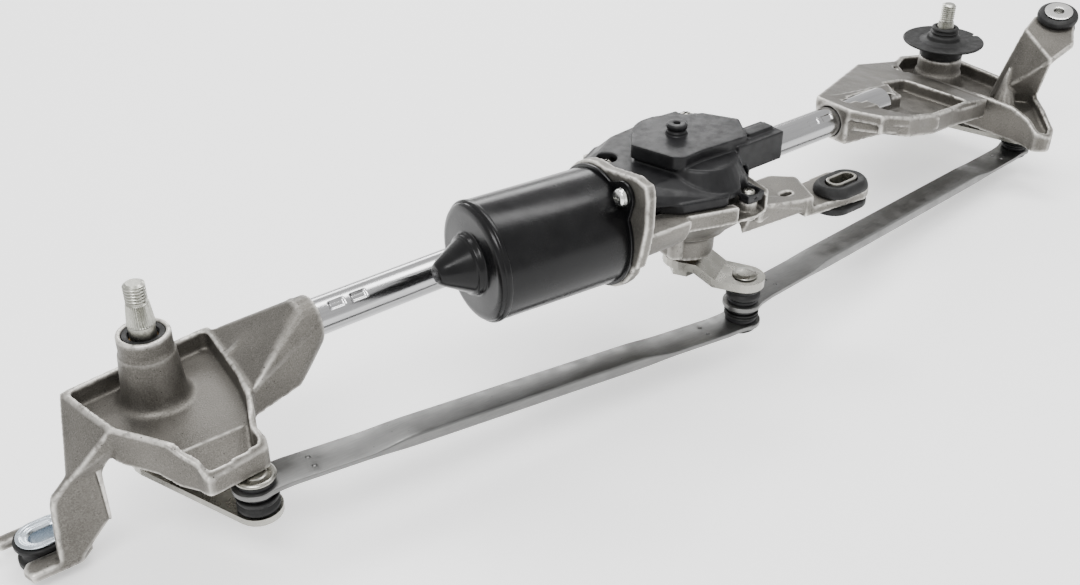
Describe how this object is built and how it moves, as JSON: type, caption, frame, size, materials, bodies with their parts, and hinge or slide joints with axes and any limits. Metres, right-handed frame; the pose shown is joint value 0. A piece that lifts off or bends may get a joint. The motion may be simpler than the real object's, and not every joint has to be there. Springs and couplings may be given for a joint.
{
  "type": "windshield wiper linkage with motor",
  "caption": "Geared wiper motor on a tube frame that drives two wiper arm pivots through a crank and ball-jointed link rods.",
  "frame": {"origin": "centre of the lower face of the sleeve in the centre fixing foot, on its bolt's axis", "axes": "+X along the cross tube from the left pivot to the right one, +Z along the pivot shafts towards the wiper arms, +Y towards the windshield's side of the tube"},
  "size_m": [0.772, 0.1789, 0.1558],
  "materials": {
    "cast": "blasted die casting",
    "tube": "bright zinc plated tube, semi-gloss",
    "black_paint": "satin black paint",
    "black_plastic": "satin black plastic",
    "rubber": "matt black rubber",
    "zinc": "zinc plated pressing",
    "steel": "plain drawn steel",
    "bronze": "sintered bronze",
    "nylon": "natural moulded nylon",
    "copper": "copper",
    "magnet": "sintered ferrite and carbon"
  },
  "bodies": {
    "frame": {"left_housing": "cast", "right_housing": "cast", "cross_tube": "tube", "gear_housing": "cast", "tube_clamp": "zinc", "motor_screw_rear": "zinc", "motor_screw_front": "zinc", "cover_screw_left": "zinc", "cover_screw_rear": "zinc", "cover_screw_front": "zinc", "clamp_screw_left": "zinc", "clamp_screw_right": "zinc", "gear_cover": "black_plastic", "connector_pins": "copper", "motor_can": "black_paint", "magnet_upper": "magnet", "magnet_lower": "magnet", "brush_holder": "nylon", "brush_front": "magnet", "brush_rear": "magnet", "armature_bearing_front": "bronze", "armature_bearing_rear": "bronze", "left_seal": "rubber", "right_boot": "rubber", "left_grommet": "rubber", "left_foot_washer": "zinc", "centre_grommet": "rubber", "centre_sleeve": "zinc", "right_grommet": "rubber", "right_sleeve": "zinc", "left_pivot_bush": "bronze", "right_pivot_bush": "bronze", "output_bush": "bronze"},
    "armature": {"armature_shaft": "steel", "armature_core": "steel", "commutator": "copper"},
    "crank": {"worm_wheel": "nylon", "output_shaft": "steel", "crank_nut": "zinc", "crank_arm": "zinc", "crank_ball_stud": "zinc"},
    "left_link": {"left_link_rod": "steel", "left_link_crank_socket": "black_plastic", "left_link_lever_socket": "black_plastic", "left_link_crank_boot": "rubber", "left_link_lever_boot": "rubber", "left_link_ball_stud": "zinc", "left_link_cap": "zinc"},
    "right_link": {"right_link_rod": "steel", "right_link_crank_socket": "black_plastic", "right_link_lever_socket": "black_plastic", "right_link_crank_boot": "rubber", "right_link_lever_boot": "rubber", "right_link_ball_stud": "zinc"},
    "left_pivot": {"left_pivot_shaft": "steel", "left_lever": "zinc", "left_lever_rivet": "zinc"},
    "right_pivot": {"right_pivot_shaft": "steel", "right_lever": "zinc", "right_lever_rivet": "zinc"}
  },
  "joints": [
    {"name": "crank_turn", "type": "hinge", "parent": "frame", "child": "crank", "pos_m": [-0.078, 0.04, 0.002], "axis": [0, 0, 1], "range_deg": [-90, 15]},
    {"name": "left_link_swing", "type": "hinge", "parent": "crank", "child": "left_link", "pos_m": [-0.06072, 0.00945, -0.055], "axis": [0, 0, 1], "range_deg": [-16, 91]},
    {"name": "right_link_swing", "type": "hinge", "parent": "crank", "child": "right_link", "pos_m": [-0.06072, 0.00945, -0.043], "axis": [0, 0, 1], "range_deg": [-16, 91]},
    {"name": "left_pivot_swing", "type": "hinge", "parent": "frame", "child": "left_pivot", "pos_m": [-0.366, 0.0902, 0.002], "axis": [0, 0, 1], "range_deg": [-47, 8]},
    {"name": "right_pivot_swing", "type": "hinge", "parent": "frame", "child": "right_pivot", "pos_m": [0.2627, 0.1257, 0.002], "axis": [0, 0, 1], "range_deg": [-45, 8]},
    {"name": "armature_spin", "type": "hinge", "parent": "frame", "child": "armature", "pos_m": [-0.116, 0.018, 0.0338], "axis": [0.9952, -0.0974, 0], "continuous": true}
  ],
  "couplings": [
    {"joint": "left_link_swing", "follows": "crank_turn", "ratio": -1.007},
    {"joint": "right_link_swing", "follows": "crank_turn", "ratio": -1.0003},
    {"joint": "left_pivot_swing", "follows": "crank_turn", "ratio": 0.5166},
    {"joint": "right_pivot_swing", "follows": "crank_turn", "ratio": 0.4915},
    {"joint": "armature_spin", "follows": "crank_turn", "ratio": 60}
  ]
}
